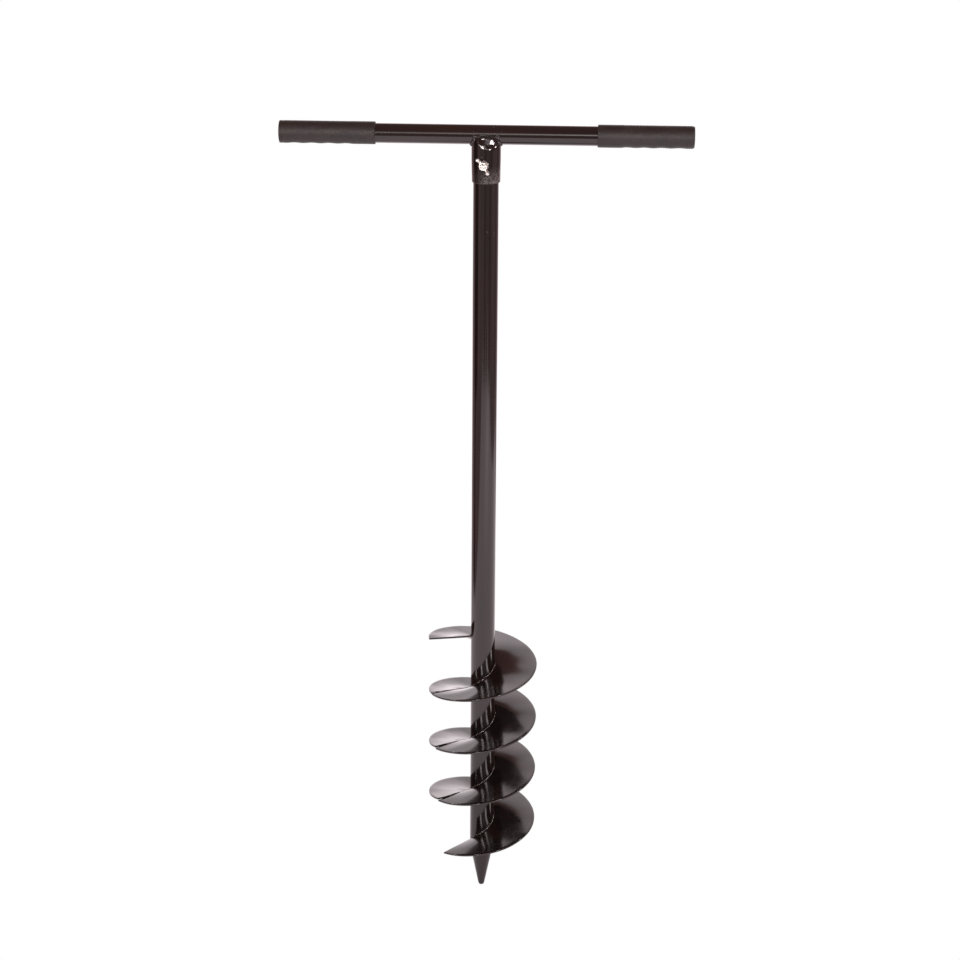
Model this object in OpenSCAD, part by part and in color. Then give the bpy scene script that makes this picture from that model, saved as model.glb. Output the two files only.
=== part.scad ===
// Hand earth auger: a T-handle bolted over a tube shaft that carries four welded turns of
// sheet flighting and a cone point. +Z runs up the shaft, X runs along the handle, the lock
// bolt lies along Y, and the origin is at the tip of the point.

/* [Shaft] */
// Outside diameter of the shaft tube
shaft_d = 33; // [32:0.5:33]
// Wall thickness of the shaft tube
shaft_wall = 2.5; // [2:0.25:3.5]
// Length of the cone that closes the tube
point_len = 65; // [55:1:70]
// Diameter of the cone's blunt end
point_tip_d = 9; // [6:0.5:12]
// Height of the crossbar's axis above the tip
handle_z = 1081; // [700:1:1400]

/* [Flighting] */
// Outside diameter of the turns, which is the hole's size
flight_d = 150; // [120:5:200]
// Rise of one full turn
pitch = 79.5; // [75:0.5:90]
// Thickness of the flighting sheet
sheet_t = 2.5; // [2:0.25:3.5]
// Height of the lowest sheet's middle at its leading edge
lead_z = 81; // [76:1:110]
// Direction of the leading edge, counter-clockwise from +X
lead_angle = 228; // [0:1:359]
// Opening of each seam at the rim
seam_gap = 3; // [1:0.1:4]

/* [Handle] */
// Outside diameter of the crossbar tube
bar_d = 25; // [24:0.5:26]
// Wall thickness of the crossbar tube
bar_wall = 2; // [1.5:0.25:3]
// Overall length of the handle over both grips
handle_len = 525; // [400:5:700]
// Outside diameter of a grip
grip_d = 29; // [28:0.2:34]
// Length of a grip
grip_len = 122; // [90:1:140]

/* [Sleeve] */
// Outside diameter of the handle's sleeve at its top
sleeve_top_d = 38; // [38:0.5:42]
// Outside diameter of the sleeve at its lower edge
sleeve_low_d = 36; // [35.5:0.5:37]
// Distance from the crossbar's axis down to the sleeve's lower edge
sleeve_drop = 60; // [55:1:80]

/* [Lock bolt] */
// Thread diameter of the lock bolt
bolt_d = 6; // [5:0.5:6]
// Distance from the crossbar's axis down to the lock bolt
bolt_drop = 36; // [34:1:44]
// Turn of the lock bolt about the shaft, out of square with the crossbar
bolt_turn = -6; // [-12:1:12]
// Span across the wings of the wing nut
wing_span = 25; // [24:1:34]
// Tilt of the wings out of the vertical, seen from the nut's side
wing_tilt = -38; // [-90:1:90]

/* [Hidden] */
$fn = 96;
fit_gap = 0.1;       // clearance between pieces that are welded or pressed together
run_gap = 0.05;      // radial running clearance of the nut on its bolt
step_angle = 7.5;    // length of one facet of the flighting
turn_span = [350, 355, 350, 350];  // degrees covered by each turn, from the lowest up
seam_skew = [0, -8, -2];           // distance of each seam's line from the axis, lowest first
rim_step = [2.6, 1.8, 1.8, 0];     // height at the rim of a turn's upper end over the next turn

shaft_r = shaft_d / 2;
ear_drop = 20;       // distance below the crossbar's axis where the ears begin to lean in
shaft_top = handle_z - ear_drop - 1;
point_seat = 20;     // length of the point's spigot inside the tube
flight_r = flight_d / 2;
hub_r = (shaft_r + fit_gap) / cos(step_angle / 2);  // keeps the facets' middles off the tube
fillet = 3.4;        // leg of the weld between turn and shaft
fillet_lip = 0.4;    // height of that weld at its outer edge
tack_r = [[0.62, 0.86], [0.62, 0.86], [0.65, 0.82]];  // each seam's tacks, in parts of the rim's radius
tack_side = [-1, -1, 1];  // 1 where a seam's tacks stand on the upper side, -1 underneath
tack_w = 5;          // radial width of one tack weld
tack_h = 0.8;        // height of a tack or seam weld above the sheet
seam_bead = 3;       // width of the seam's closed inner weld
lead_skew = -1;      // distance of the leading edge's line from the axis
tail_skew = 2;       // distance of the trailing edge's line from the axis

bar_r = bar_d / 2;
grip_end = 2;        // thickness of a grip's closed end
sleeve_r = sleeve_top_d / 2;
sleeve_bore_r = shaft_r + fit_gap;
sleeve_wall = sleeve_r - sleeve_bore_r;
ear_out = bar_r + fit_gap + sleeve_wall;
bead = 2.6;          // size of the weld between sleeve and crossbar

bolt_r = bolt_d / 2;
bolt_z = handle_z - bolt_drop;
hole_r = bolt_r + 0.3;
seat_y = sleeve_r + 0.05;  // where both washers lie, from the shaft's axis
washer_r = bolt_d;
washer_bore_r = bolt_r + 0.2;
washer_t = 1.6;
head_af = 10;        // bolt head across its flats
head_h = 4;
nut_hub_r = 6;
nut_hub_h = 7;
bolt_proud = 3;      // length of thread that stands out of the nut
wing_t = 3;          // thickness of a wing
wing_rise = 12.5;    // distance from the nut's seat to the wings' tips

// Angle where turn i begins, counted on through the turns below it
function turn_start(i) = i == 0 ? lead_angle : turn_start(i - 1) + turn_span[i - 1];

// Height of the sheet's middle at a counted angle
function spiral_z(a) = lead_z + pitch * (a - lead_angle) / 360;

// Half the sheet's thickness along Z, which grows where the sheet is steep
function half_t(r) = sheet_t / 2 / cos(atan(pitch / (2 * PI * r)));

// Radius out to which a seam is closed by its weld
closed_r = shaft_r + (flight_r - shaft_r) / 3;

// How far a radius lies along the open part of a seam, from 0 to 1
function open_part(r) = max(0, (r - closed_r) / (flight_r - closed_r));

// Half the seam's opening at a radius, as an angle
function half_seam(r) = (fit_gap + (seam_gap / 2 - fit_gap) * open_part(r)) / r * 180 / PI;

// Angle by which a straight cut beside the axis leaves the rim's own angle
function skew(d, r) = asin(d / r) - asin(d / flight_r);

// Middle of the seam at the foot of turn i, at a radius
function seam_line(i, r) = turn_start(i) + skew(seam_skew[i - 1], r);

function turn_from(i, r) = i == 0 ? turn_start(0) + skew(lead_skew, r) : seam_line(i, r) + half_seam(r);
function turn_to(i, r) = i == 3 ? turn_start(4) + skew(tail_skew, r) : seam_line(i + 1, r) - half_seam(r);
function turn_lift(i, r) = rim_step[i] * pow(open_part(r), 2);

// One closed strip wound along the spiral. A station is [radius, low, high, from, to, lift]:
// low and high are heights from the sheet's middle, from and to are the strip's end angles at
// that radius, and lift raises its last part.
module wound_strip(stations, steps) {
    n = len(stations);
    lift_from = 0.88;
    points = [
        for (k = [0 : steps], s = stations, side = [1, 2])
            let (t = k / steps, a = s[3] + (s[4] - s[3]) * t,
                up = s[5] * pow(max(0, (t - lift_from) / (1 - lift_from)), 2))
            [s[0] * cos(a), s[0] * sin(a), spiral_z(a) + s[side] + up]
    ];
    function at(k, i, side) = (k * n + i) * 2 + side;
    function quad(a, b, c, d) = [[a, b, c], [a, c, d]];
    sheet = [
        for (k = [0 : steps - 1], i = [0 : n - 2]) each concat(
            quad(at(k + 1, i + 1, 1), at(k, i + 1, 1), at(k, i, 1), at(k + 1, i, 1)),
            quad(at(k, i, 0), at(k, i + 1, 0), at(k + 1, i + 1, 0), at(k + 1, i, 0)))
    ];
    walls = [
        for (k = [0 : steps - 1]) each concat(
            quad(at(k, n - 1, 0), at(k, n - 1, 1), at(k + 1, n - 1, 1), at(k + 1, n - 1, 0)),
            quad(at(k, 0, 0), at(k + 1, 0, 0), at(k + 1, 0, 1), at(k, 0, 1)))
    ];
    ends = [
        for (i = [0 : n - 2]) each concat(
            quad(at(0, i, 0), at(0, i, 1), at(0, i + 1, 1), at(0, i + 1, 0)),
            quad(at(steps, i, 0), at(steps, i + 1, 0), at(steps, i + 1, 1), at(steps, i, 1)))
    ];
    polyhedron(points, concat(sheet, walls, ends));
}

function turn_steps(i) = ceil(turn_span[i] / step_angle);

// Sheet steel turn number i, with its ends cut for the seams
module flight(i) {
    radii = [hub_r, hub_r + fillet, closed_r, (closed_r + flight_r) / 2, flight_r];
    color("dimgray")
        wound_strip([
            for (r = radii)
                [r, -half_t(r), half_t(r), turn_from(i, r), turn_to(i, r), turn_lift(i, r)]
        ], turn_steps(i));
}

// Fillet weld on the upper side of turn number i, against the shaft
module flight_weld(i) {
    legs = [[hub_r, fillet], [hub_r + fillet, fillet_lip]];
    color("gray")
        wound_strip([
            for (leg = legs)
                let (r = leg[0], seat = half_t(r) + fit_gap)
                [r, seat, seat + leg[1], turn_from(i, r), turn_to(i, r), 0]
        ], turn_steps(i));
}

// Welds across the seam at the foot of turn number i: a closed bead near the shaft, then tacks
module seam_weld(i) {
    color("gray") {
        wound_strip([
            for (r = [hub_r + fillet + 1, closed_r])
                let (half = seam_bead / 2 / r * 180 / PI, seat = half_t(r) + 2 * fit_gap)
                [r, seat, seat + tack_h, seam_line(i, r) - half, seam_line(i, r) + half, 0]
        ], 2);
        for (part = tack_r[i - 1])
            wound_strip([
                for (r = [flight_r * part - tack_w / 2, flight_r * part + tack_w / 2])
                    let (half = half_seam(r) * 0.9, over = tack_h * tack_side[i - 1])
                    [r, min(over, 0) - half_t(r), max(over, 0) + half_t(r),
                        seam_line(i, r) - half, seam_line(i, r) + half, 0]
            ], 2);
    }
}

// A cylinder along X, centred on the crossbar's axis
module along_bar(r, len) {
    translate([0, 0, handle_z]) rotate([0, 90, 0]) cylinder(r = r, h = len, center = true);
}

// Puts its children on the bolt's axis, with their +Z towards the nut's side and +Y up
module on_bolt_axis(from) {
    translate([0, 0, bolt_z]) rotate([0, 0, bolt_turn]) translate([0, from, 0]) rotate([90, 0, 0])
        children();
}

// A cylinder on the bolt's axis that starts at a distance behind the shaft's axis
module along_bolt(r, from, len) {
    on_bolt_axis(from) cylinder(r = r, h = len);
}

module shaft_tube() {
    color("black")
        difference() {
            translate([0, 0, point_len]) cylinder(r = shaft_r, h = shaft_top - point_len);
            translate([0, 0, point_len - 1])
                cylinder(r = shaft_r - shaft_wall, h = shaft_top - point_len + 2);
            along_bolt(hole_r, shaft_r + 1, shaft_d + 2);
        }
}

module pilot_point() {
    tip_r = point_tip_d / 2;
    nose = 4;          // height of the rounded nose
    seat_r = shaft_r - shaft_wall - fit_gap;
    color("dimgray")
        rotate_extrude()
            polygon([
                [0, 0], [tip_r * 0.5, 0.6], [tip_r * 0.86, nose * 0.5], [tip_r, nose],
                [shaft_r, point_len], [seat_r, point_len],
                [seat_r, point_len + point_seat], [0, point_len + point_seat]
            ]);
}

// Ring weld over the joint between point and tube
module point_weld() {
    crown = 0.8;       // height of the bead over the tube
    reach = 3;         // length of the bead on each side of the joint
    slope = (shaft_r - point_tip_d / 2) / point_len;
    color("gray")
        rotate_extrude()
            polygon([
                [shaft_r - reach * slope + fit_gap * 2, point_len - reach],
                [shaft_r + crown, point_len - reach * 0.3],
                [shaft_r + crown, point_len + reach * 0.3],
                [shaft_r + fit_gap / 2, point_len + reach],
                [shaft_r + fit_gap / 2, point_len]
            ]);
}

// Prism along X whose front and back faces lean in towards the crossbar
module leaning_block(low_y, high_y) {
    base = handle_z - sleeve_drop - 1;
    half = sleeve_r + 1;
    rotate([90, 0, 90])
        linear_extrude(height = 2 * half, center = true)
            polygon([
                [-half, base], [half, base],
                [half, handle_z - ear_drop], [low_y, handle_z - ear_drop],
                [high_y, handle_z], [-high_y, handle_z],
                [-low_y, handle_z - ear_drop], [-half, handle_z - ear_drop]
            ]);
}

module sleeve_outside() {
    base = handle_z - sleeve_drop;
    taper = sleeve_drop / 2;
    translate([0, 0, base]) cylinder(r1 = sleeve_low_d / 2, r2 = sleeve_r, h = taper);
    translate([0, 0, base + taper]) cylinder(r = sleeve_r, h = sleeve_drop - taper);
}

// Sleeve over the shaft, coped under the crossbar, with front and back ears pressed in
module handle_socket() {
    color("black")
        difference() {
            intersection() {
                sleeve_outside();
                leaning_block(sleeve_r, ear_out);
            }
            intersection() {
                translate([0, 0, handle_z - sleeve_drop - 1])
                    cylinder(r = sleeve_bore_r, h = sleeve_drop + 2);
                leaning_block(sleeve_bore_r, ear_out - sleeve_wall);
            }
            along_bar(bar_r + fit_gap / 2, 3 * sleeve_r);
            along_bolt(hole_r, sleeve_r + 1, 2 * sleeve_r + 2);
        }
}

module handle_bar() {
    len = handle_len - 2 * grip_end - 2 * fit_gap;
    color("black")
        difference() {
            along_bar(bar_r, len);
            along_bar(bar_r - bar_wall, len + 2);
        }
}

// Beads round the crossbar beside the sleeve, and along the top edge of each ear
module socket_weld() {
    ring_r = sleeve_r + fit_gap / 2;
    color("gray") {
        difference() {
            intersection() {
                along_bar(bar_r + bead, 2 * (ring_r + bead));
                translate([0, 0, handle_z - bar_d]) cylinder(r = ring_r + bead, h = bar_d + 2);
            }
            along_bar(bar_r + fit_gap / 2, 4 * sleeve_r);
            translate([0, 0, handle_z - 2 * bar_d]) cylinder(r = ring_r, h = 3 * bar_d);
        }
        for (side = [-1, 1])
            translate([-sleeve_r / 2, side * (bar_r + bead / 2 + fit_gap), handle_z + bead / 2 + fit_gap])
                rotate([0, 90, 0]) cylinder(d = bead, h = sleeve_r);
    }
}

// One grip with a closed outer end; side is -1 for the left one and 1 for the right one
module grip(side) {
    color([0.2, 0.2, 0.2])
        translate([0, 0, handle_z]) rotate([0, side * 90, 0])
            difference() {
                translate([0, 0, handle_len / 2 - grip_len]) cylinder(d = grip_d, h = grip_len);
                translate([0, 0, handle_len / 2 - grip_len - 1])
                    cylinder(r = bar_r + fit_gap / 2, h = grip_len + 1 - grip_end);
            }
}

module lock_bolt() {
    head_y = seat_y + washer_t + fit_gap / 2;
    color("silver") {
        along_bolt(bolt_r, head_y, 2 * head_y + nut_hub_h + bolt_proud);
        on_bolt_axis(head_y + head_h) cylinder(d = head_af / cos(30), h = head_h, $fn = 6);
    }
}

// A flat washer whose back face lies at a distance behind the shaft's axis
module washer(from) {
    color("silver")
        difference() {
            along_bolt(washer_r, from, washer_t);
            along_bolt(washer_bore_r, from + 1, washer_t + 2);
        }
}

module head_washer() {
    washer(seat_y + washer_t);
}

module nut_washer() {
    washer(-seat_y);
}

// Outline of one wing, in the plane of the nut's axis: x runs outward and y away from the seat
module wing_outline() {
    ear = 4;           // radius of the wing's round tip
    hull() {
        translate([nut_hub_r - 2.5, 1.8]) square([1, nut_hub_h - 2.6]);
        translate([wing_span / 2 - ear, wing_rise - ear]) circle(r = ear, $fn = 32);
    }
}

module wing_nut() {
    seat = -(seat_y + washer_t + fit_gap / 2);
    color("gainsboro")
        on_bolt_axis(seat)
            difference() {
                union() {
                    cylinder(r1 = nut_hub_r, r2 = nut_hub_r - 1, h = nut_hub_h);
                    for (turn = [0, 180])
                        rotate([0, 0, 90 - wing_tilt + turn])
                            rotate([90, 0, 0])
                                linear_extrude(height = wing_t, center = true)
                                    wing_outline();
                }
                translate([0, 0, -1]) cylinder(r = bolt_r + run_gap, h = wing_rise + 2);
            }
}

shaft_tube();
pilot_point();
point_weld();
flight(0);  // flight_1
flight(1);  // flight_2
flight(2);  // flight_3
flight(3);  // flight_4
flight_weld(0);  // flight_weld_1
flight_weld(1);  // flight_weld_2
flight_weld(2);  // flight_weld_3
flight_weld(3);  // flight_weld_4
seam_weld(1);  // seam_weld_1
seam_weld(2);  // seam_weld_2
seam_weld(3);  // seam_weld_3
handle_socket();
handle_bar();
socket_weld();
grip(-1);  // left_grip
grip(1);  // right_grip
lock_bolt();
head_washer();
nut_washer();
wing_nut();
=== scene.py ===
import math
import random

import bmesh
import bpy
from mathutils import Matrix, Vector, noise


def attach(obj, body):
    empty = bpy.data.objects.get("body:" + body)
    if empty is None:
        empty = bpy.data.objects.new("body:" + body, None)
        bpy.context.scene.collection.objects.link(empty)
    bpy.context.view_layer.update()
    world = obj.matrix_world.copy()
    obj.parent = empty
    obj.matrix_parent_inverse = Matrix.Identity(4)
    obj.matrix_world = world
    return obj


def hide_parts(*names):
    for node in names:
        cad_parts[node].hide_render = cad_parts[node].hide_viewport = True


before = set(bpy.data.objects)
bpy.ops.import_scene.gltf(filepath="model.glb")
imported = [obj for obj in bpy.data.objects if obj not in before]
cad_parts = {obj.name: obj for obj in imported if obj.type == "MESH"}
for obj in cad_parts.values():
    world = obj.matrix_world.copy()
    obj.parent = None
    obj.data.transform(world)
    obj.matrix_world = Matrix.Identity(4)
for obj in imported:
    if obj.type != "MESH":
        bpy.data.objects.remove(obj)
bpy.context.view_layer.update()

MM = 0.001
chance = random.Random(7)

# Shaft and cone
SHAFT_R = 16.5
SHAFT_BORE_R = 13.9
SHAFT_TOP = 1060.0
POINT_LEN = 65.0
TIP_R = 4.5
NOSE = 4.0
# Blunt end of the cone: share of the tip's radius, and height
NOSE_PROFILE = ((0.12, 0.0), (0.5, 0.35), (0.78, 1.3), (0.93, 2.6), (1.0, NOSE))
# Nibs in the shaft's paint: angle to the right of the front, height and size
PAINT_NIBS = ((9.5, 959.3, 1.1), (43.0, 956.6, 1.0), (46.0, 954.6, 0.8), (13.0, 958.4, 0.6))

# Flighting. A turn is a split ring of sheet, and a seam is where two turns meet.
FLIGHT_R = 74.9
PITCH = 79.5
SHEET = 2.5
HUB_EDGE_R = SHAFT_R - 0.1
LEAD_Z = 81.0
LEAD_ANGLE = 228.0
TURN_SPANS = (350.0, 355.0, 350.0, 350.0)
FILLET = 3.2
# How far a cut passes beside the axis: at the bottom, at the top and at each seam, lowest first
LEAD_SKEW = -1.0
TAIL_SKEW = 2.0
SEAM_SKEW = (0.0, -8.0, -2.0)
# At each seam, lowest first: gap at the rim and step up at the rim
SEAM_GAPS = (0.8, 0.9, 3.0)
SEAM_STEP = (2.2, 2.0, 1.2)
# S-curve of each seam's line in degrees, which crosses zero at BOW_MIDDLE_R
SEAM_BOW = (1.7, 0.3, 0.5)
BOW_MIDDLE_R = 45
BOW_HALF = 30
# Each seam's tacks as shares of the radius, and their side of the sheet, 1 above and -1 below
TACKS = ((0.62, 0.86), (0.62, 0.86), (0.65, 0.82, 0.965))
TACK_SIDE = (-1, -1, 1)
# Share of a turn after which its end bends up to the seam's step
LIFT_FROM = 0.9
# Seams are closed inside this radius
CLOSED_R = SHAFT_R + (FLIGHT_R - SHAFT_R) / 3
# Softened cut ends: place along the turn, and how far each face is drawn in
END_INSETS = {0.0: 0.45, 0.0008: 0.14, 0.002: 0.0, 0.998: 0.0, 0.9992: 0.14, 1.0: 0.45}

# Handle
HANDLE_Z = 1081.0
BAR_R = 12.5
HANDLE_HALF = 262.45
BAR_WALL = 2.0
GRIP_LEN = 122.0
GRIP_R = 14.5
RIB_PITCH = 3.0
SCALLOP_PITCH = 22.0
SCALLOP_DEPTH = 0.65
# Length of each grip's smoother inner end
COLLAR_LEN = 30
# Closed outer ends of the grips, from the middle out: radius and inset
RIGHT_END = ((0.6, 0.0), (5.0, 0.05), (9.0, 0.25), (11.6, 0.5))
LEFT_END = ((1.0, 0.3), (9.0, 0.3), (12.4, 0.2))

# Sleeve
SLEEVE_TOP_R = 19.0
SLEEVE_LOW_R = 18.0
SLEEVE_BASE = 1021.0
SLEEVE_BORE_R = 16.6
SLEEVE_WALL = SLEEVE_TOP_R - SLEEVE_BORE_R

# Ears: the sleeve's front and back, pressed in against the bar above a ledge
EAR_TOP_Y = BAR_R + 0.1 + SLEEVE_WALL
EAR_TOP_Z = HANDLE_Z - 3.5
EAR_SOFT = 1.5
EAR_CURVE = 26.0
# The face flares out by these slopes below EAR_TOP_Z, steeper on the left, for EAR_RUN at most
EAR_SLOPE_LEFT = 0.38
EAR_SLOPE_RIGHT = 0.23
EAR_RUN = 8.0
# On the right the face ends in a shoulder, which follows the round sleeve at this depth
SHOULDER_FROM = 9.0
SHOULDER_TO = 13.0
SHOULDER_DEPTH = 1.3
# The ledge is level between these two places and climbs on both sides of them
LEDGE_Z = 1066.0
LEDGE_RISE = 9.0
LEDGE_LEFT = -2.6
LEDGE_RIGHT = 13.5
LEDGE_CLIMB_LEFT = 0.16
LEDGE_CLIMB_RIGHT = 0.4

# Lock bolt
BOLT_Z = 1045.0
BOLT_TURN = math.radians(-6.0)
BOLT_R = 3.0
BOLT_HOLE_R = 3.3
HOLE_REACH = 40.0
THREAD_PITCH = 1.0
THREAD_DEPTH = 0.55
THREAD_FROM = 8.0
# Bolt head: half its width across flats, and its chamfers as distance behind its seat and reach
HEAD_HALF = 5.0
HEAD_PROFILE = (
    (-4.0, 4.3), (-3.75, 4.75), (-3.4, 5.3), (-2.9, 5.7), (-0.5, 5.8), (-0.15, 5.2), (0.0, 4.9),
)
WASHER_SEAT = 19.05
WASHER_T = 1.6
NUT_SEAT = WASHER_SEAT + WASHER_T + 0.05
HUB_R = 5.9
HUB_H = 7.0
WING_TILT = math.radians(128.0)
# One wing from hub to tip: distance out, height over the seat, half height and half thickness
WING_STATIONS = (
    (2.5, 4.0, 2.9, 3.2), (4.2, 4.1, 2.7, 2.6), (5.6, 4.6, 2.5, 1.9), (6.9, 5.5, 2.6, 1.55),
    (8.2, 6.7, 3.2, 1.65), (9.4, 7.8, 3.8, 2.0), (10.6, 8.5, 3.7, 2.2), (11.7, 8.9, 2.9, 1.9),
    (12.25, 9.0, 1.8, 1.3), (12.5, 9.0, 0.5, 0.3),
)
BOLT_END = NUT_SEAT + HUB_H + 3.0

# Paint colours
BLACK_FILM = (0.0030, 0.0023, 0.0023)
BROWN_FILM = (0.0080, 0.0038, 0.0033)
DUST = (0.014, 0.012, 0.012)
CHALK = (0.085, 0.07, 0.07)

# Studio, in metres
WALL = 30.0
BEYOND = 9.0
CARD_Y = 1.24
CARD_X = (-0.85, 0.75)
CARD_TOP = 1.9
FOLD_TOP = 2.04
SOFTBOX_Y = -3.2
LAMP_AZIMUTHS = (-72, -18, 30, 80)
LAMP_RISE = 25
LAMP_GLOW = 42.0
LAMP_AIM_Z = 0.25
LAMP_AWAY = 3.4
LAMP_HALF = 0.3
ROOM_R = 2.6
# Azimuth to the right of the front, half width in degrees, and glow of each side of the room
ROOM_SIDES = (
    (-86, 20, 0.05), (-55, 10, 0.75), (-30, 15, 0.55), (-2, 9, 0.3),
    (18, 9, 0.48), (42, 12, 0.32), (75, 18, 0.7), (108, 14, 0.4),
)

# Camera: place in metres, and its turn, tilt up from straight down, and roll in degrees
CAMERA_AT = (0.126, -2.46952, 1.48834)
CAMERA_HEADING = 3.04447
CAMERA_TILT = 70.62067
CAMERA_ROLL = 0.35128
CAMERA_LENS = 73.309


# Mesh helpers

def smooth_step(low, high, value):
    t = min(1.0, max(0.0, (value - low) / (high - low)))
    return t * t * (3 - 2 * t)


def blend(a, b, t):
    return a + (b - a) * t


def angles(count):
    return [2 * math.pi * k / count for k in range(count)]


def raised(z):
    return Matrix.Translation((0, 0, z))


def rough(x, y, z, size):
    """Smooth noise between -1 and 1 whose lumps are about size across."""
    return noise.noise(Vector((x, y, z)) / size)


def skin(rings, closed=False, strip_ends=False):
    """Points and faces of a solid with a ring of points at each station.

    closed joins the last ring to the first. strip_ends caps a flat section with quads.
    """
    count = len(rings[0])
    points = [p for ring in rings for p in ring]
    spans = len(rings) if closed else len(rings) - 1
    faces = []
    for k in range(spans):
        low = k * count
        high = (k + 1) % len(rings) * count
        for i in range(count):
            j = (i + 1) % count
            faces.append((low + i, low + j, high + j, high + i))
    if closed:
        return points, faces
    for base in (0, spans * count):
        if strip_ends:
            for i in range(count // 2 - 1):
                faces.append((base + i, base + i + 1, base + count - 2 - i, base + count - 1 - i))
        else:
            faces.append(tuple(range(base, base + count)))
    return points, faces


def lathe(profile, around, axis="Z", closed=False):
    """Turns a profile of (radius, distance along the axis) pairs."""
    rings = []
    for radius, along in profile:
        ring = []
        for a in angles(around):
            u = radius * math.cos(a)
            v = radius * math.sin(a)
            ring.append((u, v, along) if axis == "Z" else (along, u, v))
        rings.append(ring)
    return skin(rings, closed=closed)


def lump(centre, radii, turn=0.0, uneven=0.12, around=14, layers=9):
    """A closed uneven blob, long along the direction turn in the XY plane."""
    seed = chance.random() * 50
    rings = []
    for k in range(layers):
        polar = math.pi * (k + 0.5) / layers
        ring = []
        flat = math.sin(polar)
        for a in angles(around):
            d = Vector((flat * math.cos(a), flat * math.sin(a), math.cos(polar)))
            swell = 1 + uneven * noise.noise(d * 1.7 + Vector((seed, 0, 0)))
            x = d.x * radii[0] * swell
            y = d.y * radii[1] * swell
            z = d.z * radii[2] * swell
            ring.append((
                centre[0] + x * math.cos(turn) - y * math.sin(turn),
                centre[1] + x * math.sin(turn) + y * math.cos(turn),
                centre[2] + z,
            ))
        rings.append(ring)
    return skin(rings)


def joined(shapes):
    """Puts several (points, faces) shapes into one."""
    points = []
    faces = []
    for part_points, part_faces in shapes:
        base = len(points)
        points.extend(part_points)
        faces.extend(tuple(i + base for i in face) for face in part_faces)
    return points, faces


def moved(shape, place):
    """The shape's points through a matrix in millimetres."""
    points, faces = shape
    return [tuple(place @ Vector(p)) for p in points], faces


def mesh_object(name, shape):
    points, faces = shape
    mesh = bpy.data.meshes.new(name)
    mesh.from_pydata([Vector(p) * MM for p in points], [], faces)
    build = bmesh.new()
    build.from_mesh(mesh)
    bmesh.ops.recalc_face_normals(build, faces=build.faces)
    build.to_mesh(mesh)
    build.free()
    obj = bpy.data.objects.new(name, mesh)
    bpy.context.scene.collection.objects.link(obj)
    return obj


def bake_modifiers(obj):
    """Replaces the object's mesh with what its modifiers make of it."""
    graph = bpy.context.evaluated_depsgraph_get()
    mesh = bpy.data.meshes.new_from_object(obj.evaluated_get(graph))
    obj.modifiers.clear()
    obj.data = mesh


def fuse(obj, voxel, passes=3):
    """Welds overlapping closed shapes into one skin and softens it."""
    remesh = obj.modifiers.new("fuse", "REMESH")
    remesh.mode = "VOXEL"
    remesh.voxel_size = voxel * MM
    soften = obj.modifiers.new("soften", "SMOOTH")
    soften.factor = 0.5
    soften.iterations = passes
    bake_modifiers(obj)


def cut(obj, cutter_shape):
    """Takes a closed shape away from the object."""
    cutter = mesh_object("cutter", cutter_shape)
    change = obj.modifiers.new("cut", "BOOLEAN")
    change.operation = "DIFFERENCE"
    change.solver = "EXACT"
    change.object = cutter
    bake_modifiers(obj)
    bpy.data.objects.remove(cutter)


def dress(obj, material, body, nodes, sharp=35.0):
    """Gives a finished mesh its finish, its body and the CAD nodes that it stands for."""
    obj.data.materials.clear()
    obj.data.materials.append(material)
    obj.data.shade_smooth()
    obj.data.set_sharp_from_angle(angle=math.radians(sharp))
    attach(obj, body)
    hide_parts(*nodes)
    return obj


# Node helpers

def new_material(name):
    material = bpy.data.materials.new(name)
    material.use_nodes = True
    tree = material.node_tree
    tree.nodes.clear()
    out = tree.nodes.new("ShaderNodeOutputMaterial")
    shader = tree.nodes.new("ShaderNodeBsdfPrincipled")
    tree.links.new(shader.outputs["BSDF"], out.inputs["Surface"])
    place = tree.nodes.new("ShaderNodeTexCoord").outputs["Object"]
    return material, tree, shader, place


def noise_node(tree, place, size, detail=3.0, stretch=(1, 1, 1), distortion=0.0):
    """Noise whose lumps are about size millimetres across, stretched along the axes."""
    scaled = tree.nodes.new("ShaderNodeMapping")
    scaled.inputs["Scale"].default_value = [1 / (size * MM * s) for s in stretch]
    tree.links.new(place, scaled.inputs["Vector"])
    made = tree.nodes.new("ShaderNodeTexNoise")
    made.inputs["Scale"].default_value = 1.0
    made.inputs["Detail"].default_value = detail
    made.inputs["Distortion"].default_value = distortion
    tree.links.new(scaled.outputs["Vector"], made.inputs["Vector"])
    return made.outputs["Fac"]


def spread(tree, value, from_range, to_range):
    made = tree.nodes.new("ShaderNodeMapRange")
    made.inputs["From Min"].default_value = from_range[0]
    made.inputs["From Max"].default_value = from_range[1]
    made.inputs["To Min"].default_value = to_range[0]
    made.inputs["To Max"].default_value = to_range[1]
    tree.links.new(value, made.inputs["Value"])
    return made.outputs["Result"]


def math_node(tree, a, b, operation="ADD"):
    """The sum or another result of a socket and a second socket or number."""
    made = tree.nodes.new("ShaderNodeMath")
    made.operation = operation
    tree.links.new(a, made.inputs[0])
    if isinstance(b, float):
        made.inputs[1].default_value = b
    else:
        tree.links.new(b, made.inputs[1])
    return made.outputs["Value"]


def two_colours(tree, value, first, second):
    """Mixes from first, a colour or a socket, to the colour second."""
    made = tree.nodes.new("ShaderNodeMix")
    made.data_type = "RGBA"
    tree.links.new(value, made.inputs["Factor"])
    if isinstance(first, tuple):
        made.inputs[6].default_value = (*first, 1)
    else:
        tree.links.new(first, made.inputs[6])
    made.inputs[7].default_value = (*second, 1)
    return made.outputs[2]


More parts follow.
